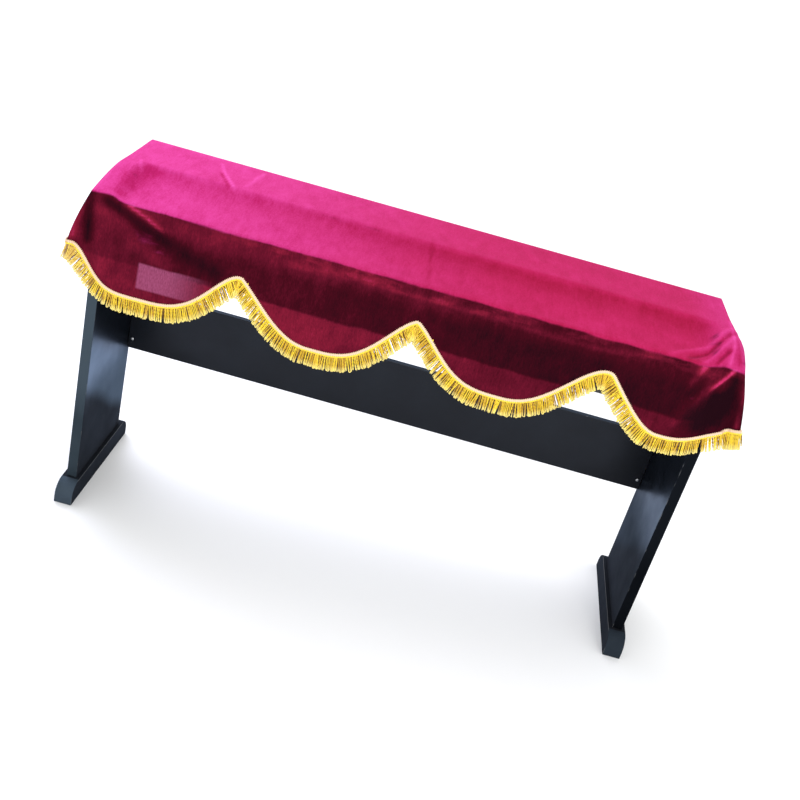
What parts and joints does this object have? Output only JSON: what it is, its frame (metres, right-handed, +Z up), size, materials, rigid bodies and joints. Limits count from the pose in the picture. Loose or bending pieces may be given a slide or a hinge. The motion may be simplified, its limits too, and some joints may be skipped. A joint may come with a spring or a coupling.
{
  "type": "piano cover on a digital piano and its stand",
  "caption": "Velvet cover with a scalloped, fringed front edge, lying over a slim digital piano that stands on a plain panel stand.",
  "frame": {"origin": "on the floor, midway between the two feet", "axes": "+X to the player's right, +Y to the back, +Z up"},
  "size_m": [1.4162, 0.357, 0.7818],
  "materials": {
    "velvet": "short pile velvet",
    "gold_thread": "woven braid and looped thread",
    "stand_black": "satin black laminate",
    "case_black": "matt black",
    "screw_steel": "dulled metal"
  },
  "bodies": {
    "root": {"cover_cloth": "velvet", "fringe_front": "gold_thread", "fringe_left": "gold_thread", "fringe_right": "gold_thread", "piano_case": "case_black", "side_panel_left": "stand_black", "side_panel_right": "stand_black", "foot_left": "stand_black", "foot_right": "stand_black", "back_board": "stand_black", "board_screw_left": "screw_steel", "board_screw_right": "screw_steel"}
  },
  "joints": []
}
